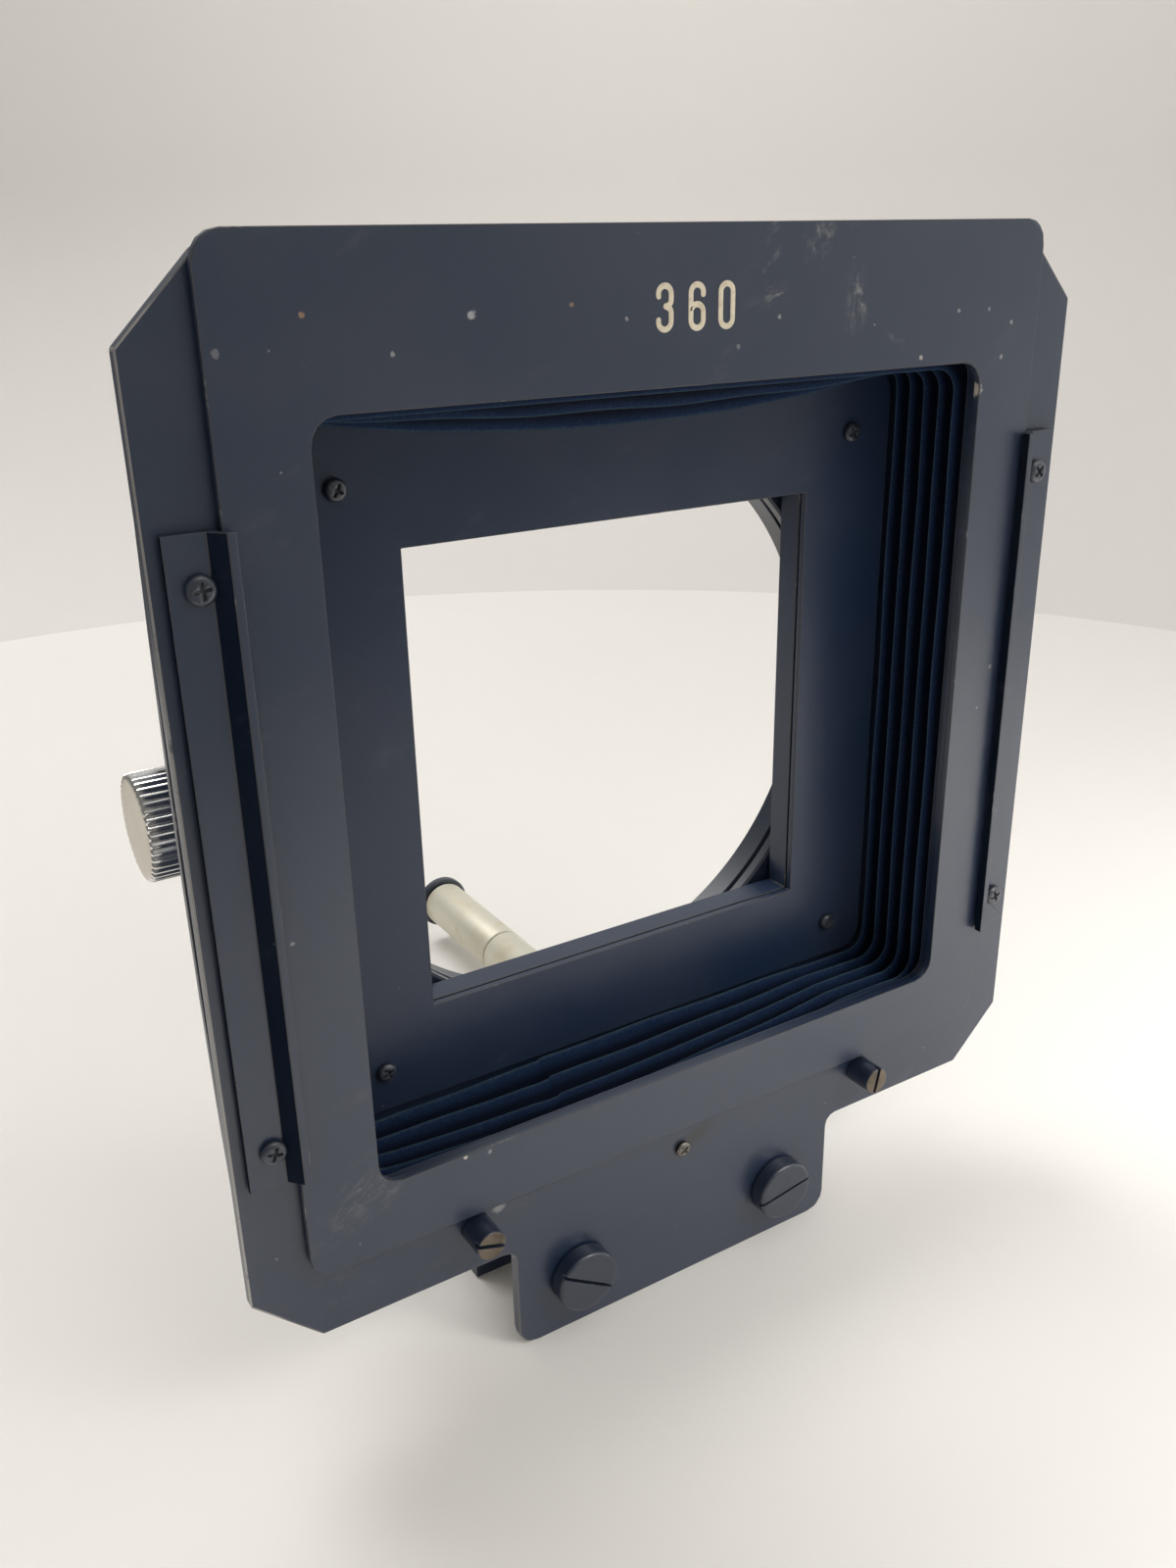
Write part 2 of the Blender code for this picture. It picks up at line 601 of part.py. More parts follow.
def build_carriage_parts():
    for side, word in ((-1, "left"), (1, "right")):
        tube = [(ROD_RADIUS + GAP, 0.0), (BUSH_RADIUS, 0.0), (BUSH_RADIUS, BUSH_LENGTH),
                (ROD_RADIUS + GAP, BUSH_LENGTH)]
        for place, at in (("front", CARRIAGE_Y + GAP),
                          ("rear", CARRIAGE_BACK - GAP - BUSH_LENGTH)):
            name = f"rod_bush_{place}_{word}"
            mesh = turn_to(lathe_mesh(name, tube, 24), "y")
            add_object(name, mesh, "brass", (side * ROD_X, depth(at), height(ROD_Z)))
        pad = [(0.0, 0.0), (PAD_RADIUS, 0.0), (PAD_RADIUS, PAD_LENGTH), (0.0, PAD_LENGTH)]
        mesh = turn_to(lathe_mesh(f"friction_pad_{word}", pad, 16), "x" if side < 0 else "-x")
        add_object(f"friction_pad_{word}", mesh, "nylon",
                   (side * PAD_OUT, depth(PAD_DEPTH), height(ROD_Z)))
        pan_screw(f"carriage_screw_{word}", side * CARRIAGE_SCREW_X, CARRIAGE_SCREW_Z, REAR_Y,
                  1.9, 1.1, 1.0, 11.0, "black_steel", 15 * side)


def build_pad_spring():
    """The coil that presses the two friction pads apart, along X."""
    turns, steps, sides, coil, wire = 5, 9, 5, 1.3, 0.3
    half = PAD_OUT - PAD_LENGTH - GAP - wire
    path = []
    for i in range(turns * steps + 1):
        t = i / (turns * steps)
        a = 2 * math.pi * turns * t
        path.append(Vector((half * (2 * t - 1), coil * math.cos(a), coil * math.sin(a))))
    bm = bmesh.new()
    rings = []
    for i, point in enumerate(path):
        along = (path[min(i + 1, len(path) - 1)] - path[max(i - 1, 0)]).normalized()
        outward = Vector((0.0, point.y, point.z)).normalized()
        across = along.cross(outward).normalized()
        outward = across.cross(along)
        ring = []
        for k in range(sides):
            a = 2 * math.pi * k / sides
            ring.append(bm.verts.new(point + wire * (math.cos(a) * outward + math.sin(a) * across)))
        rings.append(ring)
    for ring, following in zip(rings, rings[1:]):
        for k in range(sides):
            j = (k + 1) % sides
            bm.faces.new((ring[k], ring[j], following[j], following[k]))
    bm.faces.new(rings[0])
    bm.faces.new(rings[-1])
    add_object("pad_spring", finish_mesh(bm, "pad_spring", True), "spring_steel",
               (0.0, depth(PAD_DEPTH), height(ROD_Z)))


def build_rear_fasteners():
    for sx, word in ((-1, "left"), (1, "right")):
        for sz, level in ((-1, "lower"), (1, "upper")):
            pan_screw(f"plate_screw_{level}_{word}", sx * PLATE_SCREW,
                      APERTURE_Z + sz * PLATE_SCREW, REAR_FACE, 1.2, 0.5, 0.7, 3.6, "black_steel", 25 * sx * sz)
    for i, (x, z) in enumerate(housing_screw_points()):
        head, shank = 0.9, 6.6
        profile = [(0.0, -head), (1.0, -head), (1.7, -head * 0.6), (1.7, 0.0), (0.9, 0.0),
                   (0.9, shank), (0.0, shank)]
        name = f"housing_screw_{i + 1}"
        mesh = turn_to(lathe_mesh(name, profile, 12), "y")
        mesh.transform(Matrix.Rotation(math.pi, 4, "Z"))
        seat = HOUSING_Y + HOUSING_DEPTH + GAP
        screw = add_object(name, mesh, "black_steel", (x, depth(seat), height(z)))
        bar = cutter_box(f"{name}_slot", (5.0, head * 0.8, 0.45),
                         (x, depth(seat + head), height(z)), 40.0 * i)
        cut(screw, [bar])


def build_all():
    clear_scene()
    front = add_parent("front_slide", (0.0, depth(FRAME_Y), AXIS_Z))
    moving = [build_front_frame(), build_backing_frame(), build_guide_strip("guide_strip_left", -1),
              build_guide_strip("guide_strip_right", 1)]
    moving += build_front_fasteners()
    for side, word in ((-1, "left"), (1, "right")):
        moving += list(build_rod(side, word))
    for piece in moving:
        attach(piece, front)
    attach(build_mask(), add_parent("mask_slide", (0.0, depth(0.0), height(0.0))))
    build_bellows()
    build_aperture_plate()
    build_rear_frame()
    build_ring_housing()
    build_adapter_ring()
    build_clamp()
    build_carriage()
    build_carriage_parts()
    build_pad_spring()
    build_rear_fasteners()


build_all()
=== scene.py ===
"""Looks of the bellows lens hood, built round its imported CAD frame.

Sizes are in millimetres unless a comment says metres.  Depths are measured back from the
mask's front face and heights up from the mask's lower edge, as on the part.
"""

import math

import bmesh
import bpy
from mathutils import Matrix, Vector


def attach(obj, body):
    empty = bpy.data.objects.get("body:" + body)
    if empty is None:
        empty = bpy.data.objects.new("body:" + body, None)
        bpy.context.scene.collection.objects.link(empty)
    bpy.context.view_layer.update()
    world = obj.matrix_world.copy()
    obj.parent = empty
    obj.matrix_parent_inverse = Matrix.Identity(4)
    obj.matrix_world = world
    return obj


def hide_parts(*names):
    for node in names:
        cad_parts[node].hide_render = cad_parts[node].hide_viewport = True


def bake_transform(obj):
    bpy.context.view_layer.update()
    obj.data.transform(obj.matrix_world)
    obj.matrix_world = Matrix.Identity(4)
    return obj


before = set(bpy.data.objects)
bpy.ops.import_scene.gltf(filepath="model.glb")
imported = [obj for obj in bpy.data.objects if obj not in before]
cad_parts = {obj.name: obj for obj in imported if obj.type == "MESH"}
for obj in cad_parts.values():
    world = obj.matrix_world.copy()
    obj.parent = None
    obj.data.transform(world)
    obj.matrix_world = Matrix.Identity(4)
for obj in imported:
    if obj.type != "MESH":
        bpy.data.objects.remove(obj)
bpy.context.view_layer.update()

MM = 0.001
MASK_FRONT_Y = -51.2
MASK_BOTTOM_Z = 23.8
FRAME_DEPTH = 1.2                    # front face of the front frame
STRIP_DEPTH = 0.2                    # front face of the guide strips' bases
PLATE_DEPTH = 13.9                   # front face of the aperture plate
SEAT_GAP = 0.3                       # heads stand this far in front of the face they clamp
LENS_AXIS = 47.9                     # height of the lens axis
STRIP_SCREW_X = 52.5
STRIP_SCREW_HEIGHTS = (("lower", 18.2), ("upper", 76.9))
PLATE_SCREW_REACH = 34.2             # from the aperture's middle, across and up
APERTURE_MIDDLE = 47.6
PIN_X, PIN_HEIGHT = 29.7, -2.6
ROD_X, ROD_HEIGHT = 15.73, -16.0
SIDES = ((-1, "left"), (1, "right"))

WORLD_LOW, WORLD_HIGH = 0.19, 0.88   # strength of the light from the left and from the upper right
OVERHEAD_POWER = 3.85                # lamp powers in watts
KEY_POWER = 0.06
FRONT_POWER = 0.42
PATCH_POWER = 0.34
WARM_WHITE = (1.0, 0.985, 0.955)
TABLE_WHITE = (0.80, 0.785, 0.765)
TENT_WHITE = (0.70, 0.685, 0.67)
SHEEN = 1.0                          # specular level of the satin paint
SHARP_EDGE = 40.0                    # edges sharper than this many degrees get a round


def at(x, depth, height):
    """World place, in mm, of a point given by its depth and height on the part."""
    return Vector((x, MASK_FRONT_Y + depth, MASK_BOTTOM_Z + height))


# ------------------------------------------------------------------ shader helpers
def add(tree, kind, inputs=None, **settings):
    """A shader node of that kind; an input's value may be a socket or a constant."""
    made = tree.nodes.new("ShaderNode" + kind)
    for key, value in settings.items():
        setattr(made, key, value)
    for key, value in (inputs or {}).items():
        if isinstance(value, bpy.types.NodeSocket):
            tree.links.new(value, made.inputs[key])
        else:
            made.inputs[key].default_value = value
    return made


def calc(tree, operation, a, b=0.0, clamp=False):
    """One Math node's result."""
    node = add(tree, "Math", {0: a, 1: b}, operation=operation, use_clamp=clamp)
    return node.outputs[0]


def remap(tree, value, low, high, to_low=0.0, to_high=1.0):
    """Smoothly maps low..high to to_low..to_high, clamped."""
    node = add(tree, "MapRange", {"Value": value, "From Min": low, "From Max": high,
                                  "To Min": to_low, "To Max": to_high},
               interpolation_type="SMOOTHSTEP")
    return node.outputs[0]


def mix(tree, share, a, b):
    """Blends two colours; share may be a socket."""
    node = add(tree, "Mix", {"Factor": share}, data_type="RGBA")
    for socket, value in ((node.inputs[6], a), (node.inputs[7], b)):
        if isinstance(value, bpy.types.NodeSocket):
            tree.links.new(value, socket)
        else:
            socket.default_value = value
    return node.outputs[2]


def grey(value, tint=(1.0, 1.0, 1.0)):
    """A colour of that brightness, tinted."""
    return (value * tint[0], value * tint[1], value * tint[2], 1.0)


def coords(tree, scale=(1.0, 1.0, 1.0), turn=0.0):
    """Object coordinates in mm, turned about the depth axis and stretched."""
    place = add(tree, "TexCoord").outputs["Object"]
    spun = add(tree, "Mapping", {"Vector": place, "Rotation": (0.0, math.radians(turn), 0.0),
                                 "Scale": (1000.0, 1000.0, 1000.0)}).outputs[0]
    if scale == (1.0, 1.0, 1.0):
        return spun
    return add(tree, "VectorMath", {0: spun, 1: scale}, operation="MULTIPLY").outputs[0]


def noise(tree, vector, size, detail=3.0, roughness=0.55):
    """Noise whose features are about size mm across."""
    node = add(tree, "TexNoise", {"Vector": vector, "Scale": 1.0 / size, "Detail": detail,
                                  "Roughness": roughness})
    return node.outputs["Fac"]


def near(tree, point, radius, stretch=(1.0, 1.0, 1.0), turn=0.0):
    """1 at a point, falling to 0 at that distance; the spot may be a turned oval."""
    shifted = add(tree, "VectorMath", {0: coords(tree), 1: point}, operation="SUBTRACT")
    spun = add(tree, "Mapping", {"Vector": shifted.outputs[0],
                                 "Rotation": (0.0, math.radians(turn), 0.0)})
    squeezed = add(tree, "VectorMath", {0: spun.outputs[0], 1: stretch}, operation="MULTIPLY")
    length = add(tree, "VectorMath", {0: squeezed.outputs[0]}, operation="LENGTH")
    return remap(tree, length.outputs["Value"], 0.0, radius, 1.0, 0.0)


def new_material(name):
    """A material with its node tree and its shader."""
    made = bpy.data.materials.new(name)
    made.use_nodes = True
    tree = made.node_tree
    return made, tree, tree.nodes["Principled BSDF"]


def feed(tree, shader, **sockets):
    """Sets the shader's inputs; names use _ for spaces."""
    for key, value in sockets.items():
        socket = shader.inputs[key.replace("_", " ")]
        if isinstance(value, bpy.types.NodeSocket):
            tree.links.new(value, socket)
        else:
            socket.default_value = value


def bump(tree, height, strength, distance):
    """distance is in mm."""
    node = add(tree, "Bump", {"Height": height, "Strength": strength, "Distance": distance * MM})
    return node.outputs["Normal"]


def dust(tree, cell, most, seed):
    """Sparse specks: one in a few cells of that size holds a dot of up to most mm."""
    shifted = add(tree, "VectorMath", {0: coords(tree), 1: (seed, 2.0 * seed, -seed)}, operation="ADD")
    dots = add(tree, "TexVoronoi", {"Vector": shifted.outputs[0], "Scale": 1.0 / cell})
    size = add(tree, "SeparateColor", {0: dots.outputs["Color"]})
    chosen = remap(tree, size.outputs[0], 0.72, 0.98, 0.0, most / cell)
    gap = calc(tree, "SUBTRACT", chosen, dots.outputs["Distance"])
    return remap(tree, gap, 0.0, 0.25 * most / cell)


def hairlines(tree, turn, spacing, length, cover):
    """Fine scratches along one direction, broken up at random."""
    lines = noise(tree, coords(tree, (1.0 / length, 1.0 / spacing, 1.0 / spacing), turn), 1.0, 1.0)
    thin = remap(tree, lines, 0.70, 0.74)
    patches = noise(tree, coords(tree), 9.0, 2.0)
    return calc(tree, "MULTIPLY", thin, remap(tree, patches, 1.0 - cover, 1.05 - cover * 0.5))


# ----------------------------------------------------------------------- materials
def paint(name, tone, roughness, marks=(), scuffs=(), dusty=0.5, grain=1.0, sheen=SHEEN,
          tints=((0.48, 1.02, 2.40), (0.84, 1.34, 2.70)), smear=None):
    """Satin blue-black paint: mottled tone, fine grain, dust, hairlines, and placed marks.

    marks: (x, depth, height, radius, colour, strength) spots where the paint is hurt.
    scuffs: (x, depth, height, radius, narrowing, turn, strength) ovals of pale scratches,
    drawn out along a line at that many degrees from level.
    smear: the middle and the colour of one oily oval.
    """
    made, tree, shader = new_material(name)
    place = coords(tree)
    cloud = noise(tree, place, 22.0, 4.0)
    fine = noise(tree, place, 0.22, 2.0, 0.7)
    dark, light = (grey(tone, tint) for tint in tints)
    colour = mix(tree, remap(tree, cloud, 0.35, 0.68), dark, light)
    colour = mix(tree, remap(tree, fine, 0.52, 0.9, 0.0, 0.35), colour, grey(tone * 2.4, (0.8, 1.0, 1.4)))
    wiped = noise(tree, coords(tree, (0.6, 1.0, 1.5), 25.0), 6.0, 5.0, 0.65)
    film = remap(tree, wiped, 0.60, 0.80)
    colour = mix(tree, calc(tree, "MULTIPLY", film, 0.14), colour, grey(0.16, (0.95, 1.0, 1.05)))
    for turn, cover in ((12.0, 0.34), (-58.0, 0.30)):
        lines = hairlines(tree, turn, 0.16, 7.0, cover)
        colour = mix(tree, calc(tree, "MULTIPLY", lines, 0.20), colour, grey(0.20))
    for x, depth, height, radius, narrowing, turn, strength in scuffs:
        patch = near(tree, at(x, depth, height), radius, (1.0, 1.0, narrowing), turn)
        drawn = noise(tree, coords(tree, (0.30, 1.4, 1.4), turn), 1.0, 5.0, 0.75)
        streaks = remap(tree, drawn, 0.50, 0.80)
        chalk = remap(tree, noise(tree, place, 1.6, 6.0, 0.8), 0.48, 0.80)
        rubbed = calc(tree, "MULTIPLY", calc(tree, "ADD", streaks, chalk, clamp=True), patch)
        chalked = calc(tree, "MULTIPLY", rubbed, strength, clamp=True)
        colour = mix(tree, chalked, colour, grey(0.30, (1.0, 0.99, 0.95)))
    specks = dust(tree, 3.1, 0.16, 3.7)
    colour = mix(tree, calc(tree, "MULTIPLY", specks, dusty), colour, grey(0.42, (0.97, 1.0, 1.04)))
    ragged = noise(tree, place, 0.45, 4.0, 0.75)
    for x, depth, height, radius, mark, strength in marks:
        spot = near(tree, at(x, depth, height), radius)
        torn = remap(tree, calc(tree, "ADD", spot, calc(tree, "MULTIPLY", ragged, 1.6)), 1.05, 1.55)
        torn = calc(tree, "MULTIPLY", torn, remap(tree, spot, 0.0, 0.25))
        colour = mix(tree, calc(tree, "MULTIPLY", torn, strength), colour, mark)
    if smear:
        oily = near(tree, smear[0], 5.5, (1.0, 0.2, 3.0), 24.0)
        colour = mix(tree, calc(tree, "MULTIPLY", oily, 0.9), colour, smear[1])
    uneven = calc(tree, "ADD", calc(tree, "MULTIPLY", cloud, 0.10), roughness - 0.05)
    uneven = calc(tree, "ADD", uneven, calc(tree, "MULTIPLY", film, 0.07))
    feed(tree, shader, Base_Color=colour, Roughness=uneven, Specular_IOR_Level=sheen,
         Normal=bump(tree, fine, 0.35 * grain, 0.014))
    return made


def worn_edge(name, tone, worn, cover, left_only=False):
    """Paint on an arris, rubbed to bare metal along parts of it, or only at the frame's left side."""
    made, tree, shader = new_material(name)
    rub = noise(tree, coords(tree), 5.0, 5.0, 0.7)
    bare = remap(tree, rub, 0.64 - cover, 0.78 - cover)
    if left_only:
        across = add(tree, "SeparateXYZ", {0: coords(tree)}).outputs[0]
        bare = calc(tree, "MULTIPLY", bare, remap(tree, across, -54.5, -52.5, 1.0, 0.12))
    painted = grey(tone, (0.95, 1.0, 1.1))
    colour = mix(tree, bare, painted, grey(worn, (1.0, 0.98, 0.94)))
    feed(tree, shader, Base_Color=colour, Metallic=calc(tree, "MULTIPLY", bare, 0.75), Roughness=0.42)
    return made


def metal(name, colour, roughness, grime_and_shade, stain=(0.30, 0.22, 0.12), metallic=1.0):
    """Bright metal with fine machining, stains in broad patches and a little grime."""
    made, tree, shader = new_material(name)
    place = coords(tree)
    patches = remap(tree, noise(tree, place, 3.5, 4.0), 0.45, 0.75)
    base = mix(tree, calc(tree, "MULTIPLY", patches, grime_and_shade), (*colour, 1.0), (*stain, 1.0))
    lines = noise(tree, coords(tree, (1.0, 9.0, 1.0)), 0.6, 3.0, 0.7)
    rough = calc(tree, "ADD", calc(tree, "MULTIPLY", lines, 0.16), roughness - 0.08)
    feed(tree, shader, Base_Color=base, Metallic=metallic, Roughness=rough,
         Normal=bump(tree, lines, 0.25, 0.01))
    return made


def cloth():
    """Black rubberised cloth: fine weave, painted shade in the folds, and a painted highlight with some
    rubbing wear along the crests.
    """
    made, tree, shader = new_material("bellows_cloth_look")
    place = coords(tree)
    warp, weft = (add(tree, "TexWave", {"Vector": place, "Scale": 1.1, "Distortion": 0.6},
                      bands_direction=axis).outputs["Fac"] for axis in ("X", "Z"))
    weave = calc(tree, "ADD", warp, weft)
    fuzz = noise(tree, place, 0.35, 3.0, 0.8)
    face, lint = (0.0072, 0.021, 0.064, 1.0), (0.020, 0.046, 0.110, 1.0)
    valley_shade, crest_highlight_and_wear = (0.0018, 0.0048, 0.015, 1.0), (0.034, 0.060, 0.084, 1.0)
    colour = mix(tree, remap(tree, fuzz, 0.4, 0.8), face, lint)
    crest = add(tree, "Attribute", attribute_name="crest").outputs["Fac"]
    # Painted shade: away from the fold crests the cloth is painted near black.
    colour = mix(tree, remap(tree, crest, 0.68, 1.0), valley_shade, colour)
    patchy = remap(tree, fuzz, 0.25, 0.6, 0.45, 1.0)
    # Painted highlight with some rubbing wear: a pale line along the crest tips.
    rubbed = calc(tree, "MULTIPLY", remap(tree, crest, 0.93, 1.0), patchy)
    colour = mix(tree, rubbed, colour, crest_highlight_and_wear)
    colour = mix(tree, calc(tree, "MULTIPLY", dust(tree, 4.0, 0.14, 9.0), 0.35), colour, grey(0.30))
    feed(tree, shader, Base_Color=colour, Roughness=0.7, Specular_IOR_Level=0.12,
         Normal=bump(tree, calc(tree, "ADD", weave, fuzz), 0.4, 0.03))
    return made


def cream(name):
    """Cream engraving fill, or aged nylon."""
    made, tree, shader = new_material(name)
    tone = noise(tree, coords(tree), 0.6, 3.0)
    colour = mix(tree, remap(tree, tone, 0.35, 0.75), (0.70, 0.64, 0.50, 1.0), (0.58, 0.51, 0.38, 1.0))
    feed(tree, shader, Base_Color=colour, Roughness=0.55, Normal=bump(tree, tone, 0.3, 0.02))
    return made


def stage_white(name, colour, painted_light=None):
    """Pale matt cloth; painted_light is the middle and the radius of a painted pool of light."""
    made, tree, shader = new_material(name)
    tone = noise(tree, coords(tree), 220.0, 2.0)
    soft = mix(tree, tone, grey(0.94, colour), grey(1.0, colour))
    if painted_light:
        # Painted light: a patch brighter than the cloth's own white.
        soft = mix(tree, near(tree, *painted_light), soft, grey(1.22, colour))
    feed(tree, shader, Base_Color=soft, Roughness=0.85, Specular_IOR_Level=0.2)
    return made


# -------------------------------------------------------------------- mesh helpers
def show(name, mesh, body, looks, nodes=()):
    """Adds a piece that rides on a body and stands for the named CAD nodes."""
    piece = bpy.data.objects.new(name, mesh)
    bpy.context.scene.collection.objects.link(piece)
    for look in looks:
        mesh.materials.append(look)
    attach(piece, body)
    if nodes:
        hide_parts(*nodes)
    return piece


def to_mesh(bm, name, sharp=35.0):
    """Stores a bmesh in mm as a mesh in metres, smooth up to the sharp angle."""
    bmesh.ops.recalc_face_normals(bm, faces=bm.faces[:])
    bmesh.ops.scale(bm, vec=(MM, MM, MM), verts=bm.verts[:])
    mesh = bpy.data.meshes.new(name)
    bm.to_mesh(mesh)
    bm.free()
    mesh.shade_smooth()
    mesh.set_sharp_from_angle(angle=math.radians(sharp))
    return mesh


def lathe(profile, steps, radius_at=None, closed=True):
    """Turns (radius, along) points about +Z; a closed profile makes a solid.

    radius_at gives the radius of step i of a ring, for a profile that isn't round.
    """
    bm = bmesh.new()
    rings = []
    for radius, along in profile:
        count = 1 if radius == 0.0 else steps
        ring = []
        for i in range(count):
            r = radius_at(radius, i) if radius_at else radius
            a = 2.0 * math.pi * i / steps
            ring.append(bm.verts.new((r * math.cos(a), r * math.sin(a), along)))
        rings.append(ring)
    pairs = list(zip(rings, rings[1:]))
    if closed and len(rings[0]) > 1:
        pairs.append((rings[-1], rings[0]))
    for lower, upper in pairs:
        for i in range(steps):
            j = (i + 1) % steps
            corners = [lower[i % len(lower)], lower[j % len(lower)],
                       upper[j % len(upper)], upper[i % len(upper)]]
            bm.faces.new(list(dict.fromkeys(corners)))
    return bm


def aim(bm, place, axis="y"):
    """Points a bmesh's +Z along +Y or -X and moves it to its place, in mm."""
    about = {"y": "X", "-x": "Y"}[axis]
    turn = Matrix.Rotation(-math.pi / 2, 4, about)
    bmesh.ops.transform(bm, matrix=Matrix.Translation(place) @ turn, verts=bm.verts[:])
    return bm


def bar(size, place, angle):
    """A box bmesh turned about the depth axis, for cutting slots."""
    bm = bmesh.new()
    bmesh.ops.create_cube(bm, size=1.0)
    bmesh.ops.scale(bm, vec=size, verts=bm.verts[:])
    turn = Matrix.Rotation(-math.radians(angle), 4, "Y")
    bmesh.ops.transform(bm, matrix=Matrix.Translation(place) @ turn, verts=bm.verts[:])
    return bm


def carved(mesh, cutters):
    """The mesh with each cutter's solid taken away."""
    holder = bpy.data.objects.new("carving", mesh)
    bpy.context.scene.collection.objects.link(holder)
    tools = []
    for i, cutter in enumerate(cutters):
        tool = bpy.data.objects.new(f"cutter_{i}", to_mesh(cutter, f"cutter_{i}"))
        bpy.context.scene.collection.objects.link(tool)
        step = holder.modifiers.new("cut", "BOOLEAN")
        step.operation, step.solver, step.object = "DIFFERENCE", "EXACT", tool
        tools.append(tool)
    bpy.context.view_layer.update()
    evaluated = holder.evaluated_get(bpy.context.evaluated_depsgraph_get())
    result = bpy.data.meshes.new_from_object(evaluated)
    for old in tools + [holder]:
        bpy.data.objects.remove(old, do_unlink=True)
    result.shade_smooth()
    result.set_sharp_from_angle(angle=math.radians(32))
    return result


def soften(piece, width, segments=2, edge_slot=None):
    """Rounds the sharp edges of a piece; the rounds may take another material."""
    weld = piece.modifiers.new("weld", "WELD")
    weld.merge_threshold = 0.002 * MM
    edge = piece.modifiers.new("edge", "BEVEL")
    edge.width = width * MM
    edge.segments = segments
    edge.limit_method = "ANGLE"
    edge.angle_limit = math.radians(SHARP_EDGE)
    edge.use_clamp_overlap = True
    if edge_slot is not None:
        edge.material = edge_slot
    normals = piece.modifiers.new("normals", "WEIGHTED_NORMAL")
    normals.keep_sharp = False
    return piece


def dress(node, looks, width=0.12):
    """Gives a CAD node its first look, and its second one on its rounded edges."""
    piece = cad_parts[node]
    piece.data.materials.clear()
    for look in looks:
        piece.data.materials.append(look)
    for face in piece.data.polygons:
        face.material_index = 0
    if width:
        soften(piece, width, edge_slot=1 if len(looks) > 1 else None)
    return piece


def paint_faces(piece, slot, chosen):
    """Gives the chosen faces of a piece another of its looks."""
    for face in piece.data.polygons:
        if chosen(face):
            face.material_index = slot


# -------------------------------------------------------------------------- pieces
def rounded_outline(half, centre, corner, per_side, extra=()):
    """Points round a rounded square with their outward normals, counter-clockwise."""
    points = []
    for turn in range(4):
        straight = half - corner
        spots = [-straight + 2.0 * straight * i / per_side for i in range(per_side)]
        if turn == 0:
            spots = sorted(spots + list(extra))
        rows = [((s, -half), (0.0, -1.0)) for s in spots]
        for i in range(6):
            a = math.radians(-90 + 15 * i)
            rows.append(((straight + corner * math.cos(a), -straight + corner * math.sin(a)),
                         (math.cos(a), math.sin(a))))
        c, s = math.cos(turn * math.pi / 2), math.sin(turn * math.pi / 2)
        for (x, z), (nx, nz) in rows:
            normal = (c * nx - s * nz, s * nx + c * nz)
            points.append(((c * x - s * z, centre + s * x + c * z), normal))
    return points


def pleat_path(inner, outer, cuff, folds):
    """(depth, half width, fold number) points through the pleats, from the front cuff to the rear."""
    first, last, front_end, rear_end = 3.7, 13.35, 3.1, 14.6
    pitch = (last - first) / (folds - 1)
    steps_per_leg = 5
    turns = [(front_end, cuff, 0)]
    for fold in range(folds):
        turns.append((first + fold * pitch, inner, fold))
        if fold < folds - 1:
            turns.append((first + (fold + 0.5) * pitch, outer, fold))
    turns.append((rear_end, cuff, folds - 1))
    path = []
    for (y0, r0, f0), (y1, r1, f1) in zip(turns, turns[1:]):
        for i in range(steps_per_leg):
            t = i / steps_per_leg
            eased = (1.0 - math.cos(math.pi * t)) / 2.0
            along = y0 + (y1 - y0) * (0.35 * t + 0.65 * eased)
            half = r0 + (r1 - r0) * (0.75 * t + 0.25 * eased)
            path.append((along, half, f0 + (f1 - f0) * t))
    return path + [turns[-1]]


def pleat_mesh():
    """The pleats' sheet: its top sags, its lower folds slump to the left, with one glued seam."""
    centre, inner, outer, cuff, folds = 48.6, 41.15, 47.0, 45.6, 5
    top_sag = (0.0, 0.0, 1.9, 0.9, 4.1)
    low_slump = (2.7, 2.6, 2.2, 1.2, 0.0)
    seam_x, seam_step, seam_half = -13.7, 0.32, 0.25
    extra = (seam_x - seam_half, seam_x + seam_half)
    bm = bmesh.new()
    # crest is 1 at a fold's crest and falls towards its valley; the cloth paints shade and a highlight by
    # it.
    crest = bm.verts.layers.float.new("crest")
    grid = []
    for along, half, fold in pleat_path(inner, outer, cuff, folds):
        low = int(min(fold, folds - 2))
        share = fold - low
        sag = top_sag[low] + (top_sag[low + 1] - top_sag[low]) * share
        slump = low_slump[low] + (low_slump[low + 1] - low_slump[low]) * share
        depth_share = (outer - half) / (outer - inner)
        ring = []
        for (x, z), (nx, nz) in rounded_outline(half, centre, 3.0 + (half - inner) * 0.35, 44, extra):
            bow = max(0.0, 1.0 - (x / half) ** 2)
            if nz > 0.7:
                z -= sag * bow ** 0.8 * depth_share
            if nz < -0.7:
                lean = max(0.0, 1.0 - ((x + 16.0) / 44.0) ** 2) if x > -16.0 else bow ** 0.5
                z -= slump * lean * depth_share
                z += 0.5 * bow * depth_share * (fold / (folds - 1)) ** 2
                z -= seam_step * depth_share * (1.0 if x < seam_x else 0.0)
            ripple = 0.10 * math.sin(0.33 * x + 1.7 * fold) * math.sin(0.21 * z + 0.9 * fold)
            spot = bm.verts.new(at(x + nx * ripple, along, z + nz * ripple))
            # Painted shade: on the top and right walls the crest value falls off faster, so more of each
            # fold is painted dark.
            grime_and_shade = 1.0 + 2.2 * max(0.0, nz) + 0.9 * max(0.0, nx)
            spot[crest] = depth_share ** grime_and_shade
            ring.append(spot)
        grid.append(ring)
    for ring, following in zip(grid, grid[1:]):
        for i in range(len(ring)):
            j = (i + 1) % len(ring)
            bm.faces.new((ring[i], ring[j], following[j], following[i]))
    return to_mesh(bm, "bellows_pleats", 75.0)


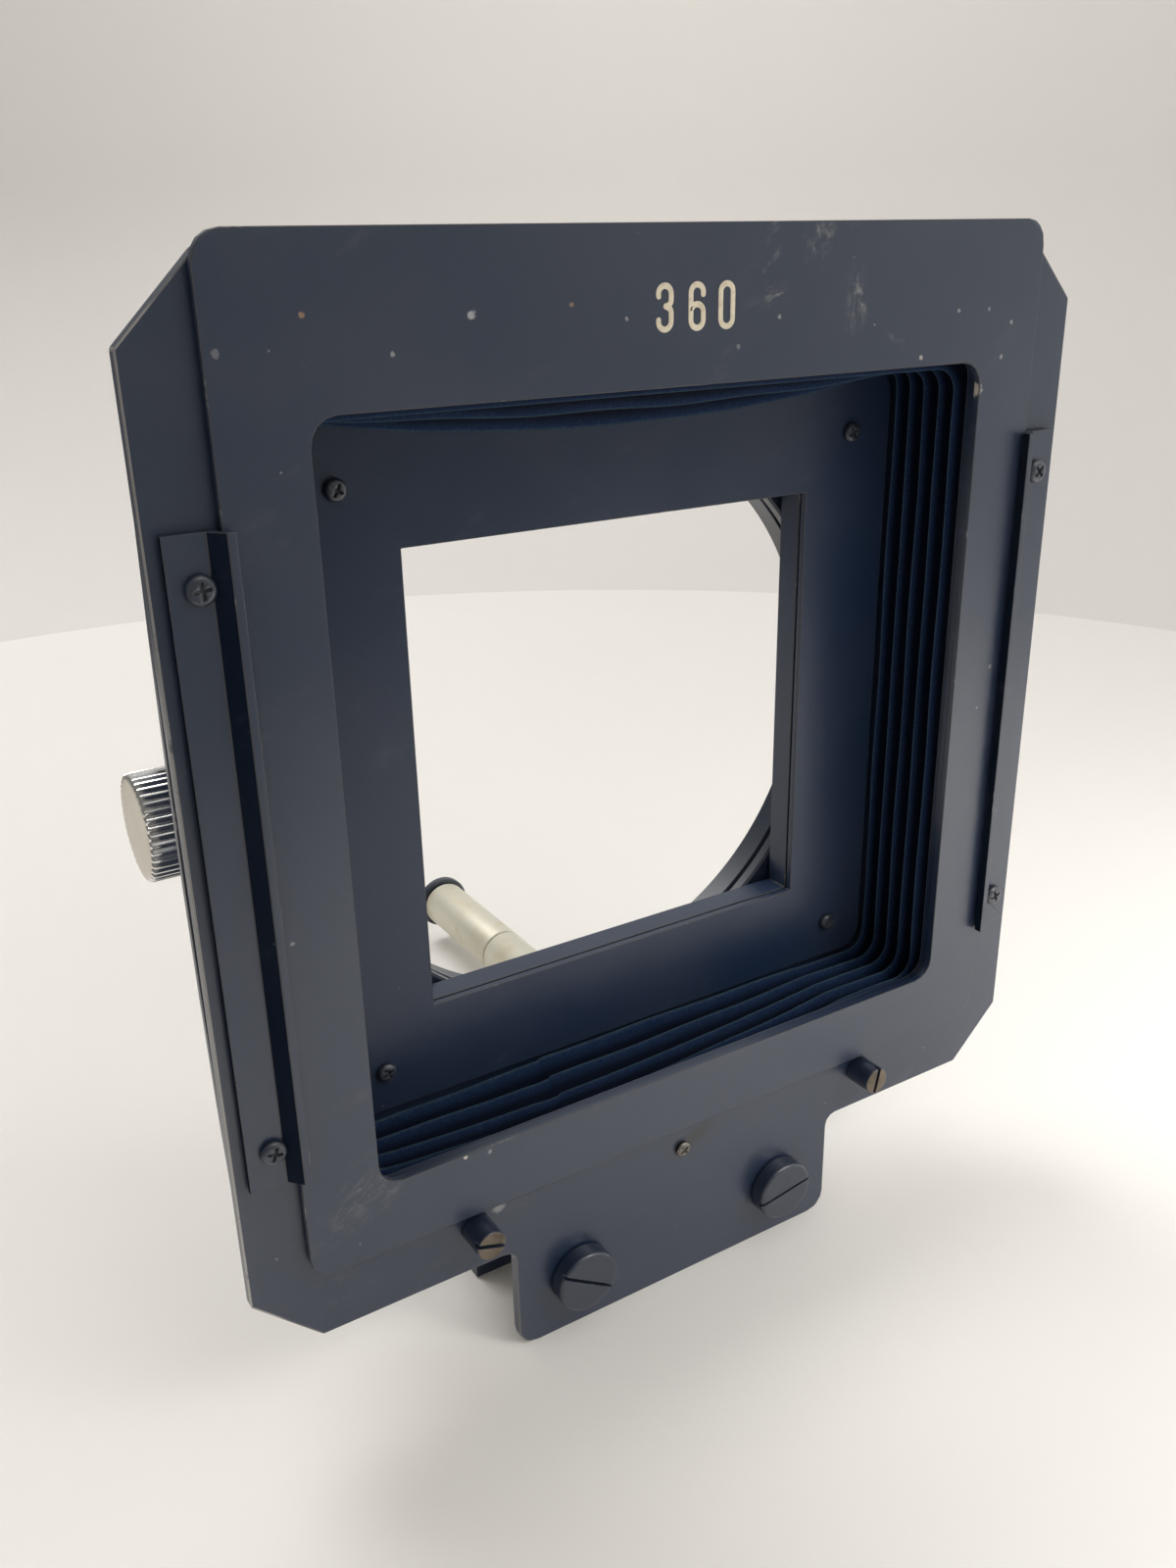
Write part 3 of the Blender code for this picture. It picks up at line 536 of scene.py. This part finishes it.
def build_bellows(look):
    """Pleated cloth behind the front frame."""
    mesh = pleat_mesh()
    mesh.materials.append(look)
    piece = bpy.data.objects.new("bellows_pleats", mesh)
    bpy.context.scene.collection.objects.link(piece)
    body = piece.modifiers.new("cloth", "SOLIDIFY")
    body.thickness = 0.3 * MM
    body.offset = 0.0
    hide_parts("bellows")
    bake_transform(piece)


def stroke(bm, path, width, lift):
    """One brush-like line of filled engraving, with round ends, on the mask's face."""
    closed = path[0] == path[-1]
    points = [Vector(p) for p in (path[:-1] if closed else path)]
    stations = []
    count = len(points)
    for i, point in enumerate(points):
        before = points[(i - 1) % count] if closed or i else point
        after = points[(i + 1) % count] if closed or i < count - 1 else point
        stations.append((point, (after - before).normalized(), 1.0))
    if not closed:
        caps = [(0.35, 0.94), (0.7, 0.71), (0.92, 0.39)]
        first, first_way, _ = stations[0]
        last, last_way, _ = stations[-1]
        head = [(first - first_way * width * s, first_way, w) for s, w in reversed(caps)]
        tail = [(last + last_way * width * s, last_way, w) for s, w in caps]
        stations = head + stations + tail
    section = ((-1.0, 0.06), (-0.86, -0.6), (-0.45, -0.95), (0.45, -0.95), (0.86, -0.6), (1.0, 0.06))
    rings = []
    for point, along, share in stations:
        side = Vector((-along.y, along.x))
        ring = []
        for s, rise in section:
            spot = point + side * (s * width * share)
            ring.append(bm.verts.new(at(spot.x, lift + rise * 0.05, spot.y)))
        rings.append(ring)
    pairs = list(zip(rings, rings[1:])) + ([(rings[-1], rings[0])] if closed else [])
    for ring, following in pairs:
        for k in range(len(section)):
            j = (k + 1) % len(section)
            bm.faces.new((ring[k], ring[j], following[j], following[k]))
    if not closed:
        bm.faces.new(rings[0])
        bm.faces.new(rings[-1])


def bend(cx, cz, rx, rz, start, stop, steps=14):
    """Points along an elliptical arc between two angles in degrees."""
    angles = [math.radians(start + (stop - start) * i / steps) for i in range(steps + 1)]
    return [(cx + rx * math.cos(a), cz + rz * math.sin(a)) for a in angles]


def build_digits(look):
    """The mask's focal length in narrow engraved figures."""
    half, low, high, pen = 0.76, 96.08, 100.16, 0.30
    three, six, nought = -3.70, 0.22, 3.92
    bm = bmesh.new()
    waist = 98.22
    upper = bend(three, high - half, half, half, 195, 0) + [(three + half, waist + 0.62)]
    upper += bend(three + half - 0.5, waist + 0.62, 0.5, 0.55, 0, -75, 6)
    lower = [(three + 0.1, waist + 0.02)] + bend(three + half - 0.5, waist - 0.62, 0.5, 0.55, 75, 0, 6)
    lower += bend(three, low + half, half, half, 0, -190)
    stroke(bm, upper, pen, 0.0)
    stroke(bm, lower, pen, 0.004)
    stem = bend(six, high - half, half, half, -12, 180) + bend(six, low + half, half, half, 180, 360)
    stem += bend(six, 98.32 - half, half, half, 0, 150)
    stroke(bm, stem, pen, 0.0)
    ring = bend(nought, high - half, half, half, 0, 180) + bend(nought, low + half, half, half, 180, 360)
    stroke(bm, ring + [ring[0]], pen, 0.0)
    show("focal_figures", to_mesh(bm, "focal_figures", 60.0), "mask", [look])


def cross_screw(name, body, looks, place, radius, head, turn, nodes):
    """Domed cross-head screw facing -Y; place is the middle of the head's seat."""
    profile = [(0.0, -head), (radius * 0.55, -head), (radius * 0.78, -head * 0.9),
               (radius * 0.92, -head * 0.66), (radius, -head * 0.3), (radius, 0.0), (radius * 0.6, 0.0),
               (radius * 0.6, 1.0), (0.0, 1.0)]
    mesh = to_mesh(aim(lathe(profile, 48), place), name)
    top = place + Vector((0.0, -head, 0.0))
    arms = [bar((radius * 1.2, head * 1.8, radius * 0.28), top, turn + 90 * k) for k in (0, 1)]
    arms.append(bar((radius * 0.46, head * 1.9, radius * 0.46), top, turn + 45))
    piece = show(name, carved(mesh, arms), body, looks, nodes)
    soften(piece, 0.03, 1, 1)


def slot_screw(name, body, looks, place, radius, head, width, turn, bevel, nodes, cut_depth=0.8):
    """Cheese-head screw facing -Y with one straight slot."""
    profile = [(0.0, -head)]
    profile += [(radius - bevel * (1.0 - math.sin(a)), -head + bevel * (1.0 - math.cos(a)))
                for a in (0.0, 0.52, 1.05, 1.57)]
    profile += [(radius, 0.0), (radius * 0.5, 0.0), (radius * 0.5, 1.0), (0.0, 1.0)]
    mesh = to_mesh(aim(lathe(profile, 72), place), name)
    top = place + Vector((0.0, -head, 0.0))
    piece = show(name, carved(mesh, [bar((radius * 3.0, 2.0 * cut_depth, width), top, turn)]), body,
                 looks, nodes)
    return soften(piece, 0.05, 2, 1)


def build_screws(steel, steel_edge, pin, pin_edge, black, black_edge, tiny):
    """Every screw head and stop pin that shows from the front."""
    steels = [steel, steel_edge]
    pin_turn, rod_turn = {-1: -18.0, 1: 78.0}, {-1: -33.0, 1: 9.0}
    for side, word in SIDES:
        for level, height in STRIP_SCREW_HEIGHTS:
            turn = 18.0 * side + (25.0 if level == "upper" else 0.0)
            seat = at(side * STRIP_SCREW_X, STRIP_DEPTH - SEAT_GAP, height)
            cross_screw(f"strip_{level}_{word}_head", "front", steels, seat, 1.4, 0.55,
                        turn, [f"strip_screw_{level}_{word}"])
        for up, level in ((-1, "lower"), (1, "upper")):
            height = APERTURE_MIDDLE + up * PLATE_SCREW_REACH
            seat = at(side * PLATE_SCREW_REACH, PLATE_DEPTH - SEAT_GAP, height)
            cross_screw(f"plate_{level}_{word}_head", "rear", steels, seat, 1.2, 0.5,
                        30.0 * side * up, [f"plate_screw_{level}_{word}"])
        seat = at(side * PIN_X, FRAME_DEPTH - SEAT_GAP, PIN_HEIGHT)
        head = slot_screw(f"pin_{word}_head", "front", [black, pin_edge, pin], seat, 1.85, 3.8,
                          0.5, pin_turn[side], 0.2, [f"stop_pin_{word}"], 0.9)
        paint_faces(head, 2, lambda face: face.normal.y < -0.9 and face.center.y < at(0, -2.5, 0).y * MM)
        seat = at(side * ROD_X, FRAME_DEPTH - SEAT_GAP, ROD_HEIGHT)
        slot_screw(f"rod_screw_{word}_head", "front", [black, black_edge], seat, 4.15, 2.2,
                   0.42, rod_turn[side], 0.45, [f"rod_screw_{word}"])
    seat = at(0.0, FRAME_DEPTH - SEAT_GAP, -3.8)
    cross_screw("centre_head", "front", [tiny, steel_edge], seat, 1.05, 0.35, 35.0,
                ["centre_screw"])


def build_rods(chrome, black):
    """Front and rear rod sections with a crisp joint, and the stop at each end."""
    radius, chamfer = 4.15, 0.35
    stop_depth = 103.8
    shapes = (("rod", 3.0, 79.2), ("rod_extension", 79.5, 103.5))
    for side, word in SIDES:
        for stem, start, end in shapes:
            length = end - start
            profile = [(0.0, 0.0), (radius - chamfer, 0.0), (radius - 0.1, 0.12), (radius, chamfer),
                       (radius, length / 2), (radius, length - chamfer), (radius - 0.1, length - 0.12),
                       (radius - chamfer, length), (0.0, length)]
            mesh = to_mesh(aim(lathe(profile, 64), at(side * ROD_X, start, ROD_HEIGHT)), stem)
            show(f"{stem}_{word}_bar", mesh, "front", [chrome], [f"{stem}_{word}"])
        stop = [(0.0, 0.0), (4.7, 0.0), (4.9, 0.2), (4.9, 1.2), (4.6, 1.5), (2.2, 1.5), (2.0, 1.1),
                (0.0, 1.1)]
        mesh = to_mesh(aim(lathe(stop, 64), at(side * ROD_X, stop_depth, ROD_HEIGHT)), "stop")
        show(f"rod_stop_{word}_disc", mesh, "front", [black], [f"rod_stop_{word}"])


def build_knob(face, edge):
    """Straight-knurled knob with a flat satin face and a narrow rounded rim."""
    flutes, radius, length = 40, 5.92, 6.6
    root_radius, run_out = 5.1, 0.5
    deep = (0.0, 0.02, 0.12, 0.26, 0.34, 0.26, 0.12, 0.02)

    def fluted(r, i):
        """The flutes run out over half a millimetre inside the rim."""
        return r - deep[i % len(deep)] * max(0.0, min(1.0, (r - root_radius) / run_out))

    profile = [(0.0, 5.4), (1.9, 5.4), (1.9, -1.2), (3.3, -1.2), (3.4, -1.1), (3.4, 0.0), (5.3, 0.0),
               (5.7, 0.1), (radius, 0.35), (radius, 3.3), (radius, 6.2), (5.84, 6.42), (5.6, 6.56),
               (5.3, length), (4.4, length - 0.02), (1.0, length), (0.0, length)]
    bm = aim(lathe(profile, flutes * len(deep), fluted), Vector((-50.2, -30.25, 71.7)), "-x")
    mesh = to_mesh(bm, "knob", 28.0)
    piece = show("clamp_knob_turned", mesh, "knob", [edge, face], ["clamp_knob"])
    paint_faces(piece, 1, lambda side: side.normal.x < -0.9 and side.center.x < -56.5 * MM)


def build_adapter(look):
    """Adapter ring with its lens thread and the groove inside its bore."""
    bore, flange, thread, step, end, pitch = 36.5, 42.0, 38.5, 3.1, 5.6, 0.75
    root = thread - 0.42
    profile = [(bore, 0.3), (bore + 0.3, 0.0), (flange - 0.2, 0.0), (flange, 0.2), (flange, step - 0.2),
               (flange - 0.2, step), (thread - 0.4, step)]
    along = step + 0.15
    while along < end - 0.5:
        profile += [(root, along), (thread, along + 0.28), (thread, along + 0.40), (root, along + 0.68)]
        along += pitch
    profile += [(root, end - 0.2), (thread - 0.6, end), (bore + 0.1, end), (bore, end - 0.1), (bore, 2.3),
                (bore + 0.6, 2.1), (bore + 0.6, 1.7), (bore, 1.5)]
    mesh = to_mesh(aim(lathe(profile, 160), at(0.0, 19.2, LENS_AXIS)), "adapter", 30.0)
    show("adapter_ring_turned", mesh, "adapter", [look], ["adapter_ring"])


# --------------------------------------------------------------------------- stage
def add_stage(name, profile, look, placed=None):
    """A turned surface of the surroundings, hidden from shadows."""
    mesh = to_mesh(lathe(profile, 96, closed=False), name, 180.0)
    if placed:
        mesh.transform(placed)
    mesh.materials.append(look)
    piece = bpy.data.objects.new(name, mesh)
    bpy.context.scene.collection.objects.link(piece)
    piece.visible_shadow = False
    return piece


def build_stage():
    """A flat round table, the pale cloth wall of a light tent with a painted pool of light, and what
    reflections see of the table.
    """
    flat, curve, top = 340.0, 160.0, 1200.0
    sweep = [(flat, -0.5)]
    for i in range(1, 13):
        a = math.radians(90 * i / 12)
        sweep.append((flat + curve * math.sin(a), curve * (1.0 - math.cos(a))))
    sweep.append((flat + curve, top))
    # Painted pool of light on the tent wall, behind the object and up to the right.
    painted_light_middle = (279.0, 415.0, 260.0)
    disc = [(0.0, 0.0), (150.0, 0.0), (flat + 10.0, 0.0)]
    table = add_stage("table", disc, stage_white("table_white", TABLE_WHITE))
    tent = add_stage("tent", sweep, stage_white("tent_white", TENT_WHITE, (painted_light_middle, 340.0)))
    table.visible_glossy = tent.visible_glossy = False
    # In reflections the table is a disc of one metre radius squeezed to an oval, out to the front right.
    oval = Matrix.Rotation(math.radians(-45), 4, "Z") @ Matrix.Diagonal((0.36, 0.19, 1.0, 1.0))
    placed = Matrix.Translation((0.06, 0.0, 0.0)) @ oval
    wide_disc = [(0.0, 0.2), (500.0, 0.2), (1000.0, 0.2)]
    mirrored = add_stage("reflected_table", wide_disc, stage_white("reflected_white", TABLE_WHITE), placed)
    mirrored.visible_camera = mirrored.visible_diffuse = False


def area_light(name, place, target, size, power, colour=WARM_WHITE, spread=180.0):
    """Places are in metres; the spread is the cone's full angle in degrees."""
    lamp = bpy.data.lights.new(name, "AREA")
    lamp.shape, lamp.size, lamp.energy, lamp.color = "DISK", size, power, colour
    lamp.spread = math.radians(spread)
    holder = bpy.data.objects.new(name, lamp)
    holder.location = place
    holder.rotation_mode = "QUATERNION"
    holder.rotation_quaternion = (Vector(target) - Vector(place)).to_track_quat("-Z", "Y")
    bpy.context.scene.collection.objects.link(holder)


def light_scene():
    """Soft light from above and behind, a low key from the right, and two lamps on the table in front."""
    world = bpy.data.worlds.new("studio")
    bpy.context.scene.world = world
    world.use_nodes = True
    tree = world.node_tree
    direction = add(tree, "TexCoord").outputs["Generated"]
    toward = add(tree, "VectorMath", {0: direction, 1: (0.80, 0.05, 0.60)}, operation="DOT_PRODUCT")
    strength = remap(tree, toward.outputs["Value"], 0.0, 1.0, WORLD_LOW, WORLD_HIGH)
    background = tree.nodes["Background"]
    background.inputs["Color"].default_value = (*WARM_WHITE, 1.0)
    tree.links.new(strength, background.inputs["Strength"])
    middle = (0.0, -0.04, 0.06)
    area_light("overhead_back", (-0.12, 0.40, 0.80), middle, 0.55, OVERHEAD_POWER, (1.0, 0.99, 0.965))
    area_light("right_low", (0.42, -0.16, 0.05), middle, 0.22, KEY_POWER, (1.0, 0.98, 0.95))
    area_light("front_table", (0.08, -0.45, 0.55), (0.20, -0.28, 0.0), 0.30, FRONT_POWER)
    area_light("right_table", (0.20, -0.33, 0.25), (0.15, -0.21, 0.0), 0.16, PATCH_POWER, spread=75.0)
    bpy.context.scene.view_settings.view_transform = "Standard"


def place_camera():
    """A wide lens close to the object's front left, looking slightly down."""
    data = bpy.data.cameras.new("camera")
    data.sensor_width = 36.0
    data.lens = 30.72
    data.clip_start, data.clip_end = 0.005, 20.0
    camera = bpy.data.objects.new("camera", data)
    right = Vector((0.84871, -0.52849, -0.01977))
    up = Vector((0.21162, 0.30510, 0.92851))
    back = right.cross(up)
    facing = Matrix((right, up, back)).transposed().to_4x4()
    camera.matrix_world = Matrix.Translation(Vector((-83.66, -165.53, 127.36)) * MM) @ facing
    bpy.context.scene.collection.objects.link(camera)
    bpy.context.scene.camera = camera


# ----------------------------------------------------------------------- assembly
def mask_paint():
    """The mask's paint, with its chips, specks, worn corner and chalky scratches."""
    bare = grey(0.55, (1.0, 0.93, 0.80))
    rust = grey(0.30, (1.0, 0.62, 0.35))
    pale = grey(0.38)
    marks = [(-41.1, 0, 98.9, 0.5, rust, 0.8), (-25.0, 0, 98.3, 0.8, pale, 0.8),
             (-33.0, 0, 95.3, 0.45, pale, 0.7), (-48.8, 0, 96.2, 0.7, pale, 0.3),
             (-14.4, 0, 98.8, 0.4, rust, 0.7), (-8.2, 0, 97.3, 0.4, pale, 0.7),
             (40.7, 0, 87.9, 0.9, bare, 0.9), (-31.0, 0, 8.5, 0.5, bare, 0.9),
             (41.0, 0, 21.1, 0.5, bare, 0.9), (47.6, 0, 52.5, 0.5, pale, 0.5),
             (-27.9, 0, 8.0, 0.5, pale, 0.5), (-48.0, 0, 41.0, 0.45, pale, 0.5),
             (36.9, 0, 96.3, 0.45, pale, 0.6), (41.8, 0, 96.3, 0.4, pale, 0.5),
             (45.7, 0, 94.7, 0.45, pale, 0.6), (44.5, 0, 90.9, 0.5, pale, 0.6),
             (10.8, 0, 96.7, 0.45, pale, 0.6), (31.5, 0, 91.5, 0.5, bare, 0.6),
             (5.5, 0, 94.0, 0.5, pale, 0.4), (41.2, 0.6, 87.3, 1.4, bare, 0.95)]
    scuffs = [(15.8, 0, 104.6, 4.0, 1.3, 75.0, 1.0), (9.4, 0, 105.2, 2.6, 1.5, 30.0, 0.7),
              (9.8, 0, 102.4, 2.6, 5.0, 45.0, 1.3), (21.3, 0, 98.0, 5.2, 2.6, 88.0, 1.0),
              (22.2, 0, 97.4, 3.2, 6.0, -66.0, 1.2), (10.2, 0, 98.8, 2.8, 2.0, 15.0, 0.8),
              (28.3, 0, 93.2, 5.0, 9.0, -28.0, 0.9), (20.5, 0, 105.5, 2.8, 2.5, 10.0, 0.6),
              (-41.5, 0, 9.5, 8.0, 1.5, 35.0, 0.5), (-46.5, 0, 6.0, 6.0, 2.0, 20.0, 0.35)]
    return paint("mask_paint", 0.020, 0.34, marks, scuffs)


def frame_paint():
    """The front frame's paint, with one rubbed spot, faint scratches and oil round the centre screw."""
    marks = [(-26.6, FRAME_DEPTH, -1.2, 1.5, grey(0.38), 0.55)]
    scuffs = [(-12.0, FRAME_DEPTH, -19.0, 7.0, 1.0, 30.0, 0.12),
              (-46.0, FRAME_DEPTH, -4.0, 8.0, 1.5, 12.0, 0.16)]
    oil = (at(2.0, FRAME_DEPTH, -2.8), grey(0.006))
    return paint("frame_paint", 0.019, 0.33, marks, scuffs, smear=oil)


def dress_plates():
    """Paint on the mask, the frames, the guide strips and the carriage, with painted shade on the guide
    strips' left-facing faces.
    """
    plain = paint("rear_paint", 0.022, 0.32, dusty=0.4, grain=0.4, sheen=0.5)
    strip_look = paint("strip_paint", 0.020, 0.36)
    # Painted shade: a darker, duller paint for the guide-strip faces that look to the left.
    strip_side_shade = paint("strip_side_shade_paint", 0.008, 0.75, dusty=0.2, sheen=0.05)
    edge = worn_edge("paint_edge", 0.05, 0.30, 0.05)
    bright_edge = worn_edge("worn_arris", 0.10, 0.40, 0.34, left_only=True)
    dress("mask_plate", [mask_paint(), edge])
    dress("front_frame", [frame_paint(), bright_edge], 0.26)
    dress("backing_frame", [plain, edge], 0.10)
    for _, word in SIDES:
        strip = dress(f"guide_strip_{word}", [strip_look, edge, strip_side_shade], 0.08)
        # Painted shade on every strip face that looks to the left.
        paint_faces(strip, 2, lambda face: face.normal.x < -0.6)
    for node in ("aperture_plate", "rear_frame", "rod_carriage"):
        dress(node, [plain, edge], 0.12)


def dress_small_parts(steel, steel_edge, spring):
    """Looks of the bushes, pads, spring, clamp and the screws behind the frames."""
    nylon = cream("nylon_cream")
    brass = metal("bush_brass", (0.66, 0.48, 0.22), 0.36, 0.3)
    for i in (1, 2, 3, 4):
        dress(f"housing_screw_{i}", [steel, steel_edge], 0.05)
    for _, word in SIDES:
        dress(f"carriage_screw_{word}", [steel, steel_edge], 0.05)
        dress(f"rod_bush_front_{word}", [brass], 0.0)
        dress(f"rod_bush_rear_{word}", [brass], 0.0)
        dress(f"friction_pad_{word}", [nylon], 0.0)
    dress("pad_spring", [spring], 0.0)
    dress("clamp_screw", [spring], 0.0)
    dress("clamp_shoe", [nylon], 0.0)


def dress_all():
    """Every CAD node gets its looks, and every modelled piece is built."""
    anodised = paint("anodised_black", 0.014, 0.36, dusty=0.2, grain=0.4)
    anodised_edge = worn_edge("anodised_edge", 0.06, 0.35, 0.06)
    blued = ((0.62, 0.95, 1.70), (1.00, 1.30, 2.00))
    steel = paint("black_steel_look", 0.020, 0.36, dusty=0.2, grain=0.3, tints=blued)
    steel_edge = worn_edge("steel_edge", 0.10, 0.40, 0.16)
    pin = metal("pin_brass", (0.22, 0.185, 0.145), 0.48, 0.8, stain=(0.07, 0.055, 0.04))
    pin_edge = worn_edge("pin_edge", 0.05, 0.40, 0.10)
    tiny = metal("tiny_screw", (0.22, 0.21, 0.19), 0.42, 0.8, stain=(0.05, 0.05, 0.05))
    chrome = metal("rod_chrome", (0.66, 0.64, 0.54), 0.48, 0.5, stain=(0.58, 0.49, 0.30), metallic=0.35)
    knob_face = metal("knob_face", (0.72, 0.68, 0.60), 0.42, 0.3, stain=(0.60, 0.53, 0.42))
    knob_side = metal("knob_side", (0.80, 0.79, 0.77), 0.14, 0.15, stain=(0.40, 0.38, 0.36))
    spring = metal("spring_look", (0.55, 0.55, 0.56), 0.3, 0.2)
    dress_plates()
    dress("ring_housing", [anodised, anodised_edge], 0.12)
    dress_small_parts(steel, steel_edge, spring)
    build_bellows(cloth())
    build_digits(cream("engraving_cream"))
    build_screws(steel, steel_edge, pin, pin_edge, anodised, anodised_edge, tiny)
    build_rods(chrome, anodised)
    build_knob(knob_face, knob_side)
    build_adapter(anodised)


dress_all()
build_stage()
light_scene()
place_camera()
